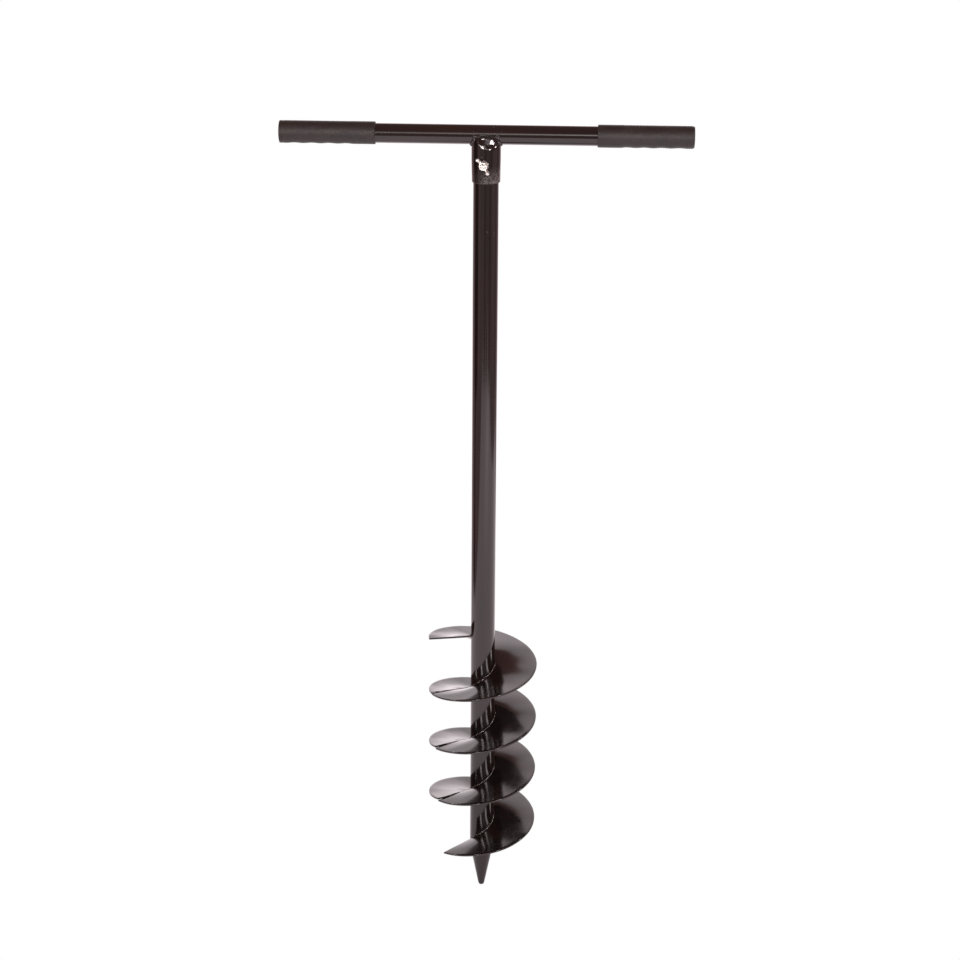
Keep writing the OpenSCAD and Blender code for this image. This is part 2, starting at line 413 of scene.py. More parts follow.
def bump_node(tree, height, depth, below=None):
    """Bump whose full height is depth millimetres."""
    made = tree.nodes.new("ShaderNodeBump")
    made.inputs["Strength"].default_value = 1.0
    made.inputs["Distance"].default_value = depth * MM
    tree.links.new(height, made.inputs["Height"])
    if below is not None:
        tree.links.new(below, made.inputs["Normal"])
    return made.outputs["Normal"]


def grit_map(tree, place, low, high):
    """Chalky grains between two heights, stronger on the right half."""
    axes = tree.nodes.new("ShaderNodeSeparateXYZ")
    tree.links.new(place, axes.inputs["Vector"])
    zone = spread(tree, axes.outputs["Z"], (high * MM, low * MM), (0, 1))
    worn_side = spread(tree, axes.outputs["X"], (-9 * MM, 2 * MM), (0.25, 1))
    grains = spread(tree, noise_node(tree, place, 1.3, 4), (0.4, 0.62), (0, 1))
    return math_node(tree, math_node(tree, zone, worn_side, "MULTIPLY"), grains, "MULTIPLY")


def enamel(name, peel=0.006, wave=0.015, gloss=(0.05, 0.12), stretch=(1, 1, 1), grit_zone=None):
    """Black gloss enamel: orange peel, slow waves in the film, and a brown cast where it is thin.

    grit_zone is (low, high) in millimetres of height, between which the film is rough.
    """
    material, tree, shader, place = new_material(name)
    shader.inputs["IOR"].default_value = 1.5
    shader.inputs["Specular Tint"].default_value = (1.0, 0.93, 0.935, 1)
    thin = spread(tree, noise_node(tree, place, 28, 4, stretch), (0.35, 0.7), (0, 1))
    film = two_colours(tree, thin, BLACK_FILM, BROWN_FILM)
    dusty = spread(tree, noise_node(tree, place, 1.1, 2), (0.66, 0.78), (0, 0.5))
    colour = two_colours(tree, dusty, film, DUST)
    patch = spread(tree, noise_node(tree, place, 14, 5, stretch), (0.3, 0.75), gloss)
    fine = spread(tree, noise_node(tree, place, 1.6, 2), (0.3, 0.7), (0, 0.03))
    roughness = math_node(tree, patch, fine)
    slow = bump_node(tree, noise_node(tree, place, 17, 2, stretch), wave)
    relief = bump_node(tree, noise_node(tree, place, 1.7, 2), peel, slow)
    if grit_zone:
        grit = grit_map(tree, place, *grit_zone)
        roughness = math_node(tree, roughness, math_node(tree, grit, 0.5, "MULTIPLY"))
        colour = two_colours(tree, grit, colour, CHALK)
        relief = bump_node(tree, grit, 0.16, relief)
    tree.links.new(colour, shader.inputs["Base Color"])
    tree.links.new(roughness, shader.inputs["Roughness"])
    tree.links.new(relief, shader.inputs["Normal"])
    return material


def rubber():
    """Dull black moulded rubber with a fine grain, scuffed paler in places."""
    material, tree, shader, place = new_material("grip_rubber_grain")
    shader.inputs["IOR"].default_value = 1.5
    shader.inputs["Specular IOR Level"].default_value = 0.38
    scuff = spread(tree, noise_node(tree, place, 9, 5, (3, 1, 1)), (0.42, 0.72), (0, 1))
    colour = two_colours(tree, scuff, (0.010, 0.006, 0.006), (0.017, 0.011, 0.0105))
    tree.links.new(colour, shader.inputs["Base Color"])
    dull = spread(tree, noise_node(tree, place, 5, 4), (0.3, 0.7), (0.5, 0.6))
    tree.links.new(dull, shader.inputs["Roughness"])
    grain = bump_node(tree, noise_node(tree, place, 0.6, 3), 0.006)
    tree.links.new(grain, shader.inputs["Normal"])
    return material


def zinc(name, dark=0.0):
    """Bright zinc plate over a cast or drawn surface: pale, satin, a little cloudy."""
    material, tree, shader, place = new_material(name)
    shader.inputs["Metallic"].default_value = 0.9
    cloud = spread(tree, noise_node(tree, place, 3.5, 5), (0.35, 0.7), (0, 1))
    # dark takes that much off every channel, giving a darker copy of the zinc: painted shade, used
    # for the washers.
    pale = (0.84 - dark, 0.82 - dark, 0.79 - dark)
    dull = (0.62 - dark, 0.60 - dark, 0.57 - dark)
    tree.links.new(two_colours(tree, cloud, pale, dull), shader.inputs["Base Color"])
    satin = spread(tree, noise_node(tree, place, 1.3, 4), (0.3, 0.7), (0.28, 0.5))
    tree.links.new(satin, shader.inputs["Roughness"])
    grain = bump_node(tree, noise_node(tree, place, 0.5, 3), 0.035)
    tree.links.new(grain, shader.inputs["Normal"])
    return material


# Shaft and point

def shaft(material):
    """Tube with the bolt's hole through it, and a few nibs in its paint."""
    profile = [(SHAFT_BORE_R, POINT_LEN), (SHAFT_R, POINT_LEN)]
    rows = 120
    for k in range(1, rows):
        z = blend(POINT_LEN, SHAFT_TOP, k / rows)
        profile.append((SHAFT_R, z))
    profile += [(SHAFT_R - 0.4, SHAFT_TOP), (SHAFT_BORE_R, SHAFT_TOP)]
    tube = lathe(profile, 128, closed=True)
    nibs = []
    sunk_r = SHAFT_R - 0.3
    for angle, z, size in PAINT_NIBS:
        a = math.radians(angle)
        centre = (sunk_r * math.sin(a), -sunk_r * math.cos(a), z)
        nibs.append(lump(centre, (size, 0.5, size * 0.9), a))
    obj = mesh_object("shaft_body", tube)
    cut(obj, bolt_hole())
    with_nibs = mesh_object("shaft_nibs", joined(nibs))
    dress(with_nibs, material, "auger", ())
    return dress(obj, material, "auger", ("shaft_tube",))


def point(material):
    """Cone with a blunt nose and a slightly uneven surface."""
    profile = [(TIP_R * share, z) for share, z in NOSE_PROFILE]
    rows = 44
    for k in range(1, rows + 1):
        t = k / rows
        profile.append((blend(TIP_R, SHAFT_R - 0.05, t), blend(NOSE, POINT_LEN, t)))
    profile.append((SHAFT_R - 0.6, POINT_LEN + 0.3))
    points, faces = lathe(profile, 96)
    shaped = []
    for x, y, z in points:
        swell = 1 + 0.012 * rough(x * 1.5, y * 1.5, z, 11.0)
        shaped.append((x * swell, y * swell, z))
    obj = mesh_object("point_cone", (shaped, faces))
    return dress(obj, material, "auger", ("pilot_point",))


def ring_weld(material):
    """Rippled bead round the joint between cone and tube."""
    rings = []
    steps = 220
    for k in range(steps):
        a = 2 * math.pi * k / steps
        ripple = 0.14 * math.cos(46 * a + 2 * rough(math.cos(a) * 9, math.sin(a) * 9, 0, 6.0))
        crown = 0.75 + ripple + 0.25 * rough(math.cos(a) * 16, math.sin(a) * 16, 3, 5.0)
        reach = 2.7 + 0.5 * rough(math.cos(a) * 16, math.sin(a) * 16, 9, 4.0)
        ring = []
        for j in range(9):
            u = -1 + j / 4
            r = SHAFT_R - 0.35 * max(0, -u) - 0.15 + crown * math.sqrt(max(0, 1 - u * u))
            ring.append((r * math.cos(a), r * math.sin(a), POINT_LEN + reach * u))
        ring.append(((SHAFT_R - 1.4) * math.cos(a), (SHAFT_R - 1.4) * math.sin(a), POINT_LEN))
        rings.append(ring)
    obj = mesh_object("point_bead", skin(rings, closed=True))
    return dress(obj, material, "auger", ("point_weld",), 60)


# Flighting

def seam_angle(i):
    """Counted angle of the seam or edge at the foot of turn i; 4 is the upper end."""
    return LEAD_ANGLE + sum(TURN_SPANS[:i])


def spiral_z(a):
    return LEAD_Z + PITCH * (a - LEAD_ANGLE) / 360


def half_t(r):
    """Half the sheet's thickness, measured upwards."""
    return SHEET / 2 / math.cos(math.atan(PITCH / (2 * math.pi * r)))


def open_part(r):
    """0 where the seams are closed, growing to 1 at the rim."""
    return max(0.0, (r - CLOSED_R) / (FLIGHT_R - CLOSED_R))


def skew(d, r):
    """Angle by which a straight cut beside the axis leaves its own angle at the rim."""
    return math.degrees(math.asin(max(-1, min(1, d / r))) - math.asin(d / FLIGHT_R))


def seam_line(i, r):
    """Angle of the middle of a seam at a radius: 1 is the lowest seam and 3 the highest."""
    line = seam_angle(i) + skew(SEAM_SKEW[i - 1], r)
    fade = min(1, (r - SHAFT_R) / 20)
    return line + SEAM_BOW[i - 1] * math.sin((r - BOW_MIDDLE_R) / BOW_HALF * math.pi) * fade


def half_seam(i, r):
    """Half the seam's opening at a radius, as an angle."""
    nicks = 0.25 * rough(r, i * 30.0, 0, 4.0)
    opening = 0.1 + (SEAM_GAPS[i - 1] / 2 - 0.1 + nicks) * open_part(r)
    return math.degrees(opening / r)


def turn_from(i, r):
    """Angle at which turn i, from 0, starts at a radius."""
    if i == 0:
        return seam_angle(0) + skew(LEAD_SKEW, r)
    return seam_line(i, r) + half_seam(i, r)


def turn_to(i, r):
    """Angle at which turn i, from 0, ends at a radius."""
    if i == 3:
        return seam_angle(4) + skew(TAIL_SKEW, r)
    return seam_line(i + 1, r) - half_seam(i + 1, r)


def lift(i, r, t):
    """Rise of turn i towards its upper seam, at the share t of the way along it."""
    if i == 3:
        return 0.0
    near_end = max(0, (t - LIFT_FROM) / (1 - LIFT_FROM))
    return SEAM_STEP[i] * open_part(r) ** 0.45 * near_end ** 2


def sheet_section():
    """Round the sheet's section from hub to rim on top and back below: (radius, side, inset)."""
    spans = 17
    radii = [HUB_EDGE_R]
    radii += [blend(SHAFT_R + 1, FLIGHT_R - 0.6, k / spans) for k in range(spans + 1)]
    rim = [(FLIGHT_R - 0.3, 0.08), (FLIGHT_R - 0.09, 0.3), (FLIGHT_R, 0.6)]
    top = [(r, 0.0) for r in radii] + rim
    above = [(r, 1, inset) for r, inset in top]
    below = [(r, -1, inset) for r, inset in reversed(top)]
    return above + below


def flight(i, material):
    """One pressed turn, with slow hand-formed waves in the sheet and softened cut ends."""
    section = sheet_section()
    steps = 176
    places = sorted([*END_INSETS, *(k / steps for k in range(1, steps))])
    rings = []
    for t in places:
        ring = []
        for r, side, inset in section:
            a = blend(turn_from(i, r), turn_to(i, r), t)
            thick = half_t(r) - max(inset, END_INSETS.get(t, 0.0))
            x = r * math.cos(math.radians(a))
            y = r * math.sin(math.radians(a))
            dish = 0.28 * rough(x, y, a * 0.6, 26.0) * min(1, (r - SHAFT_R) / 12)
            ring.append((x, y, spiral_z(a) + side * thick + lift(i, r, t) + dish))
        rings.append(ring)
    obj = mesh_object(f"flight_{i + 1}_sheet", skin(rings, strip_ends=True))
    return dress(obj, material, "auger", (f"flight_{i + 1}",), 50)


def fillet_weld(i, material):
    """Rippled fillet between a turn's upper side and the shaft."""
    rings = []
    steps = 520
    ripple_every = 6.4
    toe_r = 20
    start = turn_from(i, toe_r) + 0.6
    end = turn_to(i, toe_r) - 0.6
    for k in range(steps + 1):
        a = blend(start, end, k / steps)
        x = math.cos(math.radians(a))
        y = math.sin(math.radians(a))
        wander = rough(x * 18, y * 18, a * 0.35, 5.0)
        ripple = math.cos(a / ripple_every * 2 * math.pi + 3 * wander)
        fade = min(1, k / 9, (steps - k) / 9)
        leg = max(0.15, (FILLET + 0.35 * wander + 0.16 * ripple) * math.sqrt(fade))
        ring = []
        for j in range(7):
            b = math.pi / 2 * j / 6
            bulge = 0.8 + 0.1 * math.sin(2 * b)
            r = SHAFT_R - 0.1 + leg * (1 - bulge * math.cos(b))
            rise = leg * (1 - bulge * math.sin(b))
            seat = spiral_z(a) + half_t(SHAFT_R + 2) - 0.15
            ring.append((r * x, r * y, seat + rise))
        inner = SHAFT_R - 0.5
        ring.append((inner * x, inner * y, spiral_z(a) + half_t(SHAFT_R) - 0.4))
        rings.append(ring)
    obj = mesh_object(f"flight_bead_{i + 1}", skin(rings))
    return dress(obj, material, "auger", (f"flight_weld_{i + 1}",), 60)


def seam_lump(i, r, proud, radii):
    """A lump on the seam's line, proud of the sheet's middle by a height."""
    a = math.radians(seam_line(i, r))
    centre = (r * math.cos(a), r * math.sin(a), spiral_z(math.degrees(a)) + proud)
    return lump(centre, radii, a, 0.2)


def seam_weld(i, material):
    """Closed bead near the shaft and separate tacks farther out, fused into lumpy welds."""
    side = TACK_SIDE[i - 1]
    shapes = []
    r = SHAFT_R + 4.5
    while r < CLOSED_R + 1.5:
        proud = side * (half_t(r) - 0.2)
        proud += 0.15 * chance.random()
        shapes.append(seam_lump(i, r, proud, (1.6, 2.4, 0.6)))
        r += 1.15
    for part in TACKS[i - 1]:
        for step in (-1.7, -0.5, 0.8, 1.8):
            r = FLIGHT_R * part + step
            size = 1.7 + 0.4 * chance.random()
            proud = side * (half_t(r) - 0.55) + 0.5 * lift(i - 1, r, 1)
            shapes.append(seam_lump(i, r, proud, (size, size * 1.4, 0.95)))
    obj = mesh_object(f"seam_bead_{i}", joined(shapes))
    fuse(obj, 0.32, 2)
    return dress(obj, material, "auger", (f"seam_weld_{i}",), 70)


# Handle

def bar(material):
    end = HANDLE_HALF - 4.2
    spans = 60
    outer = [(BAR_R, blend(-end, end, k / spans)) for k in range(spans + 1)]
    inner = [(BAR_R - BAR_WALL, end), (BAR_R - BAR_WALL, -end)]
    tube = lathe(outer + inner, 96, "X", closed=True)
    obj = mesh_object("bar_tube", moved(tube, raised(HANDLE_Z)))
    return dress(obj, material, "auger", ("handle_bar",))


def grip_radius(along, side):
    """Radius of a grip at a distance from its outer end.

    The right grip's end is well rounded, and the left one's has a crisp edge and a groove.
    """
    ribbed = smooth_step(GRIP_LEN - COLLAR_LEN, GRIP_LEN - COLLAR_LEN - 4, along)
    rib = 0.05 + 0.09 * ribbed
    r = GRIP_R - 0.17 - rib + rib * math.cos(2 * math.pi * along / RIB_PITCH)
    if side > 0:
        round_end = 5.0
        if along < round_end:
            r -= round_end * 0.42 * (1 - math.sqrt(1 - (1 - along / round_end) ** 2))
    else:
        r -= 0.5 * max(0, 1 - along / 0.8) ** 2
        r -= 0.35 * math.exp(-((along - 4.2) / 0.7) ** 2)
    lip = GRIP_LEN - along
    r -= 0.7 * max(0, 1 - lip / 0.9) ** 2
    return r


def grip(side, material):
    """Ribbed grip with shallow finger scallops underneath and a closed outer end."""
    around = 72
    per_rib = 7
    mouth_r = BAR_R + 0.05
    count = int(GRIP_LEN / RIB_PITCH * per_rib)
    places = [0, 0.2, 0.5]
    places += [GRIP_LEN * k / count for k in range(2, count)]
    places += [GRIP_LEN - 0.2, GRIP_LEN]
    rings = []
    for r, inset in RIGHT_END if side > 0 else LEFT_END:
        rings.append([(inset, r * math.cos(b), r * math.sin(b)) for b in angles(around)])
    shift = 0.75 if side > 0 else 0.0
    for along in places:
        r = grip_radius(along, side)
        ring = []
        for b in angles(around):
            under = max(0.0, -math.sin(b)) ** 1.5
            wave = 0.5 - 0.5 * math.cos(2 * math.pi * (along - 8) / SCALLOP_PITCH)
            inside = smooth_step(2, 14, along) * smooth_step(GRIP_LEN - 24, GRIP_LEN - 36, along)
            fit = r - SCALLOP_DEPTH * under * wave * inside
            inset = max(along, shift * (1 - along / 2))
            ring.append((inset, fit * math.cos(b), fit * math.sin(b)))
        rings.append(ring)
    for along in (GRIP_LEN, GRIP_LEN - 6):
        rings.append([(along, mouth_r * math.cos(b), mouth_r * math.sin(b)) for b in angles(around)])
    points, faces = skin(rings)
    placed = [(side * (HANDLE_HALF - u), v, HANDLE_Z + w) for u, v, w in points]
    name = "right" if side > 0 else "left"
    obj = mesh_object(f"{name}_grip_moulding", (placed, faces))
    return dress(obj, material, "auger", (f"{name}_grip",), 50)


# Sleeve

def cope(y):
    """Height of the sleeve's upper edge where its surface is y from the bar's middle plane."""
    if abs(y) >= BAR_R:
        return HANDLE_Z
    return HANDLE_Z - math.sqrt(BAR_R ** 2 - y * y)


def sleeve_radius(z):
    return blend(SLEEVE_LOW_R, SLEEVE_TOP_R, smooth_step(SLEEVE_BASE - 12, SLEEVE_BASE + 34, z))


def ear_limit(x, z):
    """Distance from the bar's plane at which the pressed-in ear lies."""
    round_y = math.sqrt(max(0, SLEEVE_TOP_R ** 2 - x * x))
    foot = LEDGE_Z + LEDGE_CLIMB_LEFT * max(0, LEDGE_LEFT - x) ** 2
    foot += LEDGE_CLIMB_RIGHT * max(0, x - LEDGE_RIGHT) ** 2
    ledge = smooth_step(foot - LEDGE_RISE / 2, foot + LEDGE_RISE / 2, z)
    drop = EAR_TOP_Z - z
    run = min(EAR_RUN, (drop + math.sqrt(drop * drop + 1.5)) / 2)
    slope = blend(EAR_SLOPE_LEFT, EAR_SLOPE_RIGHT, smooth_step(-3, 4, x))
    flat = EAR_TOP_Y + slope * run - x * x / (2 * EAR_CURVE)
    pressed = blend(flat, round_y - SHOULDER_DEPTH, smooth_step(SHOULDER_FROM, SHOULDER_TO, x))
    pressed += 0.2 * rough(x, 5, z, 5.5)
    return blend(round_y + EAR_SOFT, pressed, ledge)


def pressed_in(x, y, z, inward):
    """A point of the round sleeve moved in where the ears are pressed."""
    limit = ear_limit(x, z) - inward
    depth = abs(y)
    mix = min(1, max(0, 0.5 + 0.5 * (depth - limit) / EAR_SOFT))
    depth = blend(depth, limit, mix) - EAR_SOFT * mix * (1 - mix)
    return x, math.copysign(depth, y), z


def sleeve_rows(inner):
    """Rings of the sleeve's outside or bore, from its lower edge to its cope."""
    around = 200
    rows = 96
    made = []
    for k in range(rows + 1):
        v = k / rows
        ring = []
        for b in angles(around):
            edge = 0.3 * rough(30 * math.cos(b), 30 * math.sin(b), 4, 7.0)
            base = SLEEVE_BASE + max(0.0, edge) + (0.35 if inner else 0)
            r_end = SLEEVE_BORE_R if inner else SLEEVE_TOP_R
            y_end = -r_end * math.cos(b)
            top = cope(y_end)
            if abs(y_end) > BAR_R:
                top -= 1.7 * (r_end * math.sin(b) / 13) ** 2
            z = blend(base, top, v)
            if inner:
                r = SLEEVE_BORE_R
                inward = SLEEVE_WALL
            else:
                r = sleeve_radius(z) - 0.35 * max(0, 1 - (z - base) / 0.8) ** 2
                inward = 0.0
            ring.append(pressed_in(r * math.sin(b), -r * math.cos(b), z, inward))
        made.append(ring)
    return made


def sleeve(material):
    outer = sleeve_rows(False)
    inner = sleeve_rows(True)
    obj = mesh_object("socket_sleeve", skin(outer + inner[::-1], closed=True))
    cut(obj, bolt_hole())
    return dress(obj, material, "auger", ("handle_socket",), 60)


def socket_beads(material):
    """Lumpy welds in the corners beside the sleeve, a row of dots over each ear, and spatter."""
    corner_r = SLEEVE_TOP_R + 0.2
    shapes = []
    for side in (-1, 1):
        for k in range(30):
            b = math.radians(blend(43, 137, k / 29))
            x = side * corner_r * math.sin(b)
            y = -corner_r * math.cos(b)
            front = math.exp(-((math.degrees(b) - 58) / 16) ** 2)
            size = 1.5 + 0.5 * chance.random() + (0.8 if side > 0 else 0.55) * front
            z = cope(y) - 0.2
            shapes.append(lump((x, y, z), (size, size, size), 0, 0.45))
    for facing in (-1, 1):
        for k in range(10):
            x = blend(-11.5, 12, k / 9) + 0.5 * chance.random()
            up = 0.3 + 0.9 * chance.random() - 1.3 * (x / 12) ** 2
            y = facing * (math.sqrt(max(0, BAR_R ** 2 - up * up)) + 0.9)
            size = 1.15 + 0.55 * chance.random()
            shapes.append(lump((x, y, HANDLE_Z + up), (size * 1.1, size, size * 0.8), 0, 0.35))
    for k in range(34):
        side = chance.choice((-1, 1))
        x = side * (9 + 15 * chance.random())
        up = 2 + 8.5 * chance.random() if abs(x) < 19 else -8 + 17 * chance.random()
        y = chance.choice((-1, -1, 1)) * math.sqrt(BAR_R ** 2 - up * up)
        size = 0.32 + 0.35 * chance.random()
        shapes.append(lump((x, y, HANDLE_Z + up), (size, size, size), 0, 0.3))
    obj = mesh_object("socket_beads", joined(shapes))
    fuse(obj, 0.3, 2)
    return dress(obj, material, "auger", ("socket_weld",), 70)


# Lock bolt, washers and nut

def bolt_frame():
    """Axes of the bolt: Z towards the nut, Y up, origin on the shaft's axis."""
    across = Vector((math.cos(BOLT_TURN), math.sin(BOLT_TURN), 0))
    out = Vector((math.sin(BOLT_TURN), -math.cos(BOLT_TURN), 0))
    turn = Matrix((across, (0, 0, 1), out)).transposed().to_4x4()
    return Matrix.Translation((0, 0, BOLT_Z)) @ turn


def bolt_hole():
    profile = [(BOLT_HOLE_R, -HOLE_REACH), (BOLT_HOLE_R, HOLE_REACH)]
    return moved(lathe(profile, 48), bolt_frame())


def bolt(material):
    """Hexagon bolt: chamfered head, plain shank and a real helical thread to a chamfered tip."""
    around = 96
    back = -NUT_SEAT
    rings = []
    for w, reach in HEAD_PROFILE:
        ring = []
        for b in angles(around):
            flat = HEAD_HALF / math.cos(b % (math.pi / 3) - math.pi / 6)
            r = min(flat, reach)
            ring.append((r * math.cos(b), r * math.sin(b), back + w))
        rings.append(ring)
    per_pitch = 9
    places = [back + 0.01, back + 4, 0, THREAD_FROM - 1]
    rows = int((BOLT_END - THREAD_FROM) / THREAD_PITCH * per_pitch)
    places += [blend(THREAD_FROM, BOLT_END, k / rows) for k in range(rows + 1)]
    for w in places:
        ring = []
        for b in angles(around):
            phase = (w / THREAD_PITCH - b / (2 * math.pi)) % 1.0
            cut_in = smooth_step(THREAD_FROM, THREAD_FROM + 2, w)
            groove = THREAD_DEPTH * (1 - abs(2 * phase - 1)) * cut_in
            r = min(BOLT_R - 0.04 - groove, BOLT_R - 0.9 + (BOLT_END - w))
            ring.append((r * math.cos(b), r * math.sin(b), w))
        rings.append(ring)
    obj = mesh_object("bolt_thread", moved(skin(rings), bolt_frame()))
    return dress(obj, material, "auger", ("lock_bolt",), 30)


def washer(name, low, body, material):
    """Stamped washer with one rounded and one sharper edge."""
    profile = [
        (3.25, low + 0.15), (3.4, low), (5.8, low), (6.0, low + 0.15),
        (6.0, low + WASHER_T - 0.4), (5.85, low + WASHER_T - 0.12), (5.6, low + WASHER_T),
        (3.4, low + WASHER_T), (3.25, low + WASHER_T - 0.15),
    ]
    obj = mesh_object(f"{name}_ring", moved(lathe(profile, 72, closed=True), bolt_frame()))
    return dress(obj, material, body, (name,), 40)


def wing(turn):
    """One cast wing: a narrow neck at the hub and a thick round tip."""
    rings = []
    for reach, height, tall, thick in WING_STATIONS:
        ring = []
        for b in angles(28):
            c = math.copysign(abs(math.cos(b)) ** 0.85, math.cos(b))
            s = math.copysign(abs(math.sin(b)) ** 0.85, math.sin(b))
            side = thick * s
            ring.append((
                reach * math.cos(turn) - side * math.sin(turn),
                reach * math.sin(turn) + side * math.cos(turn),
                NUT_SEAT + height + tall * c,
            ))
        rings.append(ring)
    return skin(rings)


def wing_nut(material):
    hub = lathe([
        (5.6, NUT_SEAT), (HUB_R - 0.1, NUT_SEAT + 0.25), (HUB_R - 0.1, NUT_SEAT + 1.6),
        (HUB_R - 0.35, NUT_SEAT + 2.1), (5.15, NUT_SEAT + HUB_H - 0.5), (4.8, NUT_SEAT + HUB_H),
    ], 64)
    shapes = [hub, wing(WING_TILT), wing(WING_TILT + math.pi)]
    obj = mesh_object("wing_nut_casting", moved(joined(shapes), bolt_frame()))
    fuse(obj, 0.24, 5)
    bore = lathe([
        (3.45, NUT_SEAT - 1), (3.45, NUT_SEAT + 0.2), (3.05, NUT_SEAT + 0.6),
        (3.05, NUT_SEAT + HUB_H - 0.7), (3.6, NUT_SEAT + HUB_H - 0.1), (3.6, NUT_SEAT + HUB_H + 8),
    ], 48)
    cut(obj, moved(bore, bolt_frame()))
    return dress(obj, material, "wing_nut", ("wing_nut",), 45)


# Studio

def glowing(name, colour, strength):
    """A plain glow: its material, node tree and emission node."""
    material = bpy.data.materials.new(name)
    material.use_nodes = True
    tree = material.node_tree
    tree.nodes.clear()
    out = tree.nodes.new("ShaderNodeOutputMaterial")
    glow = tree.nodes.new("ShaderNodeEmission")
    glow.inputs["Color"].default_value = (*colour, 1)
    glow.inputs["Strength"].default_value = strength
    tree.links.new(glow.outputs["Emission"], out.inputs["Surface"])
    return material, tree, glow


def panel(name, corners, material, seen=False):
    """A four-cornered stage panel in metres, seen by the camera or only in reflections."""
    mesh = bpy.data.meshes.new(name)
    mesh.from_pydata(corners, [], [(0, 1, 2, 3)])
    mesh.materials.append(material)
    obj = bpy.data.objects.new(name, mesh)
    bpy.context.scene.collection.objects.link(obj)
    obj.visible_camera = seen
    obj.visible_glossy = not seen
    obj.visible_diffuse = not seen
    obj.visible_shadow = False
    obj.visible_transmission = False
    return obj


def graded(name, colour, base, spots):
    """Glow that is brighter or darker near spots, each given as centre, reach and gain."""
    material, tree, glow = glowing(name, colour, base)
    place = tree.nodes.new("ShaderNodeTexCoord").outputs["Object"]
    total = None
    for centre, reach, gain in spots:
        moved_place = tree.nodes.new("ShaderNodeMapping")
        moved_place.vector_type = "TEXTURE"
        moved_place.inputs["Location"].default_value = centre
        moved_place.inputs["Scale"].default_value = reach
        tree.links.new(place, moved_place.inputs["Vector"])
        ball = tree.nodes.new("ShaderNodeTexGradient")
        ball.gradient_type = "QUADRATIC_SPHERE"
        tree.links.new(moved_place.outputs["Vector"], ball.inputs["Vector"])
        part = math_node(tree, ball.outputs["Fac"], gain, "MULTIPLY")
        total = part if total is None else math_node(tree, total, part)
    tree.links.new(math_node(tree, total, base), glow.inputs["Strength"])
    return material


def level(name, x, y, z, material, seen=False):
    """A level panel between two X and two Y."""
    corners = [(x[0], y[0], z), (x[1], y[0], z), (x[1], y[1], z), (x[0], y[1], z)]
    return panel(name, corners, material, seen)


def upright(name, x, y, z, material):
    """An upright panel that faces the front, between two X and two heights."""
    corners = [(x[0], y, z[0]), (x[1], y, z[0]), (x[1], y, z[1]), (x[0], y, z[1])]
    return panel(name, corners, material)


def white_room():
    """Floor and walls that the camera sees, and a dim world that reflections see."""
    world = bpy.data.worlds.new("dark_room")
    bpy.context.scene.world = world
    world.use_nodes = True
    room = world.node_tree.nodes["Background"]
    room.inputs["Color"].default_value = (0.40, 0.235, 0.21, 1)
    room.inputs["Strength"].default_value = 1.0
    white = glowing("pale_floor", (1.0, 1.0, 1.0), 1.0)[0]
    level("floor", (-WALL, WALL), (-WALL, WALL), 0, white, True)
    corners = ((-WALL, -WALL), (WALL, -WALL), (WALL, WALL), (-WALL, WALL))
    for k in range(4):
        a = corners[k]
        b = corners[(k + 1) % 4]
        sheet = [(*a, -1), (*b, -1), (*b, 2 * WALL), (*a, 2 * WALL)]
        panel(f"backdrop_{k}", sheet, white, True)
    level("backdrop_top", (-WALL, WALL), (-WALL, WALL), 2 * WALL, white, True)


def reflected_room():
    """Glowing cards that only reflections see: paper under the object, cards round it, lamps."""
    paper = graded("paper_glow", (1.0, 0.9, 0.93), 1.8, (
        ((1.1, -1.8, 0), (1.6, 1.2, 1), 1.1),
        ((-1.0, 0.8, 0), (1.3, 1.0, 1), -1.2),
        ((0.1, 0.1, 0), (1.0, 0.75, 1), -1.3),
    ))
    level("paper", (-1.1, 1.9), (-2.9, CARD_Y), -0.001, paper)
    for middle, half, strength in ROOM_SIDES:
        room_side(middle, half, strength)
    beyond = graded("floor_beyond_glow", (1.0, 0.68, 0.69), 0.7, (
        ((0.0, -3.3, 0), (0.5, 1.2, 1), -0.3),
        ((0.9, -2.9, 0), (0.6, 1.0, 1), 0.5),
    ))
    level("floor_beyond", (-BEYOND, BEYOND), (-BEYOND, BEYOND), -0.01, beyond)
    back = graded("backdrop_glow", (1.0, 0.91, 0.94), 1.7, (
        ((0.1, CARD_Y, 1.2), (1.6, 1.0, 0.85), 1.1),
        ((-1.0, CARD_Y, 0.7), (0.6, 1.0, 1.2), -1.0),
        ((-0.1, CARD_Y, 0.56), (0.8, 1.0, 0.22), -1.0),
        ((-0.1, CARD_Y, 0.2), (0.9, 1.0, 0.3), 0.5),
    ))
    upright("back_card", CARD_X, CARD_Y, (0, CARD_TOP), back)
    fold = glowing("backdrop_fold_glow", (1.0, 0.72, 0.66), 1.0)[0]
    upright("back_fold", CARD_X, CARD_Y, (CARD_TOP, FOLD_TOP), fold)
    shade = glowing("floor_gap_glow", (1.0, 0.6, 0.6), 0.1)[0]
    gap = ((-1.1, -0.1), (-1.1, 0.25), (-4.0, 0.7), (-4.0, -0.2))
    panel("floor_gap", [(x, y, -0.004) for x, y in gap], shade)
    softbox = graded("softbox_glow", (1.0, 0.98, 0.97), 1.2, (
        ((0.3, SOFTBOX_Y, 1.95), (1.3, 1.0, 0.6), 6.0),
    ))
    upright("softbox", (-0.8, 1.4), SOFTBOX_Y, (1.45, 2.65), softbox)
    lamp_glow = glowing("lamp_glow", (1.0, 0.98, 0.97), LAMP_GLOW)[0]
    for k, azimuth in enumerate(LAMP_AZIMUTHS):
        lamp(f"lamp_{k}", azimuth, lamp_glow)


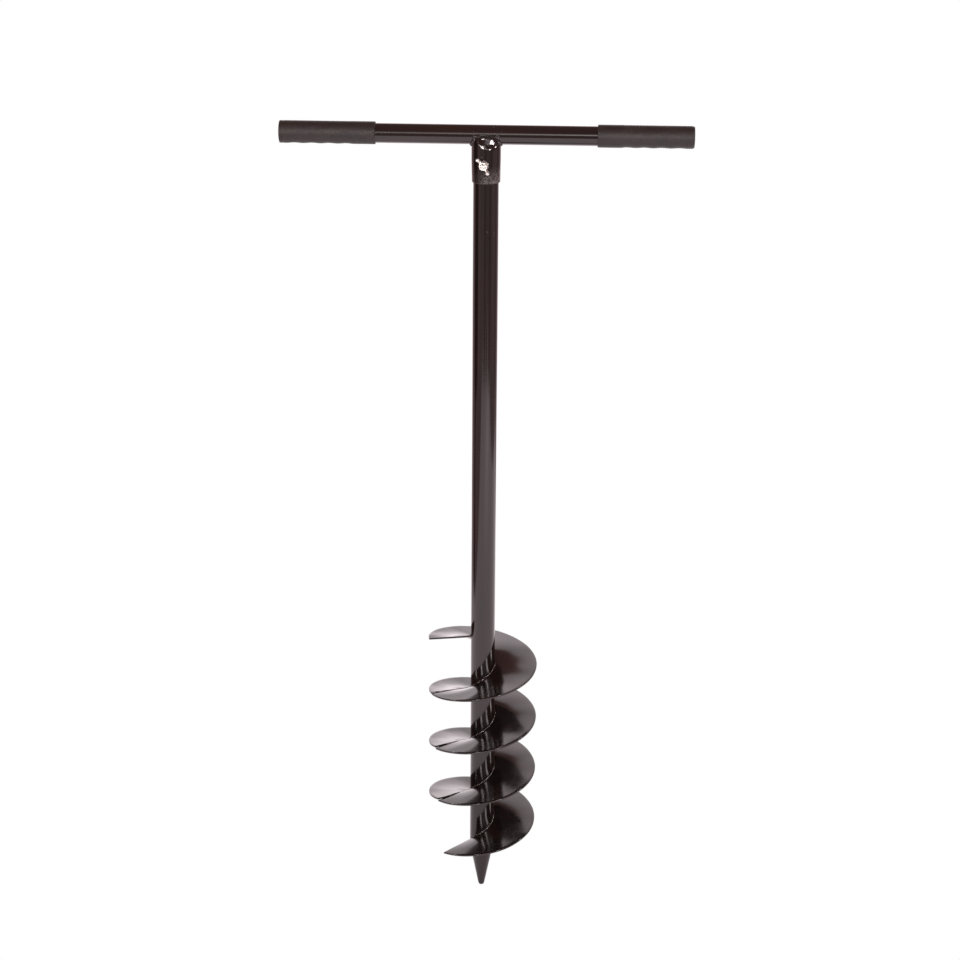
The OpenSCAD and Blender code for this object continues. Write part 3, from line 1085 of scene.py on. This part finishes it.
def room_side(middle, half, strength):
    """A low upright card round the object, which only the upper shaft and the sleeve reflect."""
    left = middle - half
    right = middle + half
    corners = []
    for azimuth, z in ((left, 0), (right, 0), (right, 1), (left, 1)):
        a = math.radians(azimuth)
        corners.append((ROOM_R * math.sin(a), -ROOM_R * math.cos(a), z))
    name = f"room_side_{middle}"
    colour = (1.0, 0.92, 0.88) if abs(middle) < 50 else (1.0, 0.74, 0.76)
    panel(name, corners, glowing(name, colour, strength)[0])


def lamp(name, azimuth, material):
    """Square lamp that faces the flighting, at an azimuth to the right of the front."""
    a = math.radians(azimuth)
    e = math.radians(LAMP_RISE)
    away = Vector((math.sin(a) * math.cos(e), -math.cos(a) * math.cos(e), math.sin(e)))
    across = Vector((math.cos(a), math.sin(a), 0))
    up = across.cross(-away)
    middle = Vector((0, 0, LAMP_AIM_Z)) + away * LAMP_AWAY
    corners = []
    for i, j in ((-1, -1), (1, -1), (1, 1), (-1, 1)):
        corners.append(middle + across * LAMP_HALF * i + up * LAMP_HALF * j)
    panel(name, corners, material)


def camera():
    """Camera in front of the object, a little to the right and above, looking down."""
    data = bpy.data.cameras.new("camera")
    data.lens = CAMERA_LENS
    data.sensor_width = 36.0
    data.clip_end = 100.0
    obj = bpy.data.objects.new("camera", data)
    bpy.context.scene.collection.objects.link(obj)
    bpy.context.scene.camera = obj
    heading = Matrix.Rotation(math.radians(CAMERA_HEADING), 4, "Z")
    tilt = Matrix.Rotation(math.radians(CAMERA_TILT), 4, "X")
    roll = Matrix.Rotation(math.radians(CAMERA_ROLL), 4, "Z")
    obj.matrix_world = Matrix.Translation(CAMERA_AT) @ heading @ tilt @ roll


def build():
    tube_paint = enamel("enamel_tube", stretch=(1, 1, 6))
    bar_paint = enamel("enamel_bar", peel=0.014, wave=0.03, stretch=(6, 1, 1))
    sheet_paint = enamel("enamel_sheet", wave=0.02, gloss=(0.1, 0.17))
    weld_paint = enamel("enamel_weld", peel=0.02, wave=0.02, gloss=(0.05, 0.2))
    grit_zone = (SLEEVE_BASE, SLEEVE_BASE + 22)
    sleeve_paint = enamel("enamel_sleeve", peel=0.02, wave=0.05, grit_zone=grit_zone)
    bright = zinc("zinc_bright")
    # The washers get the darker copy of the zinc: painted shade, as if they lay in shadow under the
    # nut and the bolt head.
    plain = zinc("zinc_painted_shade", 0.3)
    grip_rubber = rubber()
    shaft(tube_paint)
    point(tube_paint)
    ring_weld(weld_paint)
    for i in range(len(TURN_SPANS)):
        flight(i, sheet_paint)
        fillet_weld(i, weld_paint)
    for i in range(1, len(TURN_SPANS)):
        seam_weld(i, weld_paint)
    bar(bar_paint)
    sleeve(sleeve_paint)
    socket_beads(weld_paint)
    grip(-1, grip_rubber)
    grip(1, grip_rubber)
    bolt(bright)
    washer("head_washer", -WASHER_SEAT - WASHER_T, "auger", plain)
    washer("nut_washer", WASHER_SEAT, "nut_washer", plain)
    wing_nut(bright)


bpy.context.scene.view_settings.view_transform = "Standard"
camera()
white_room()
reflected_room()
build()
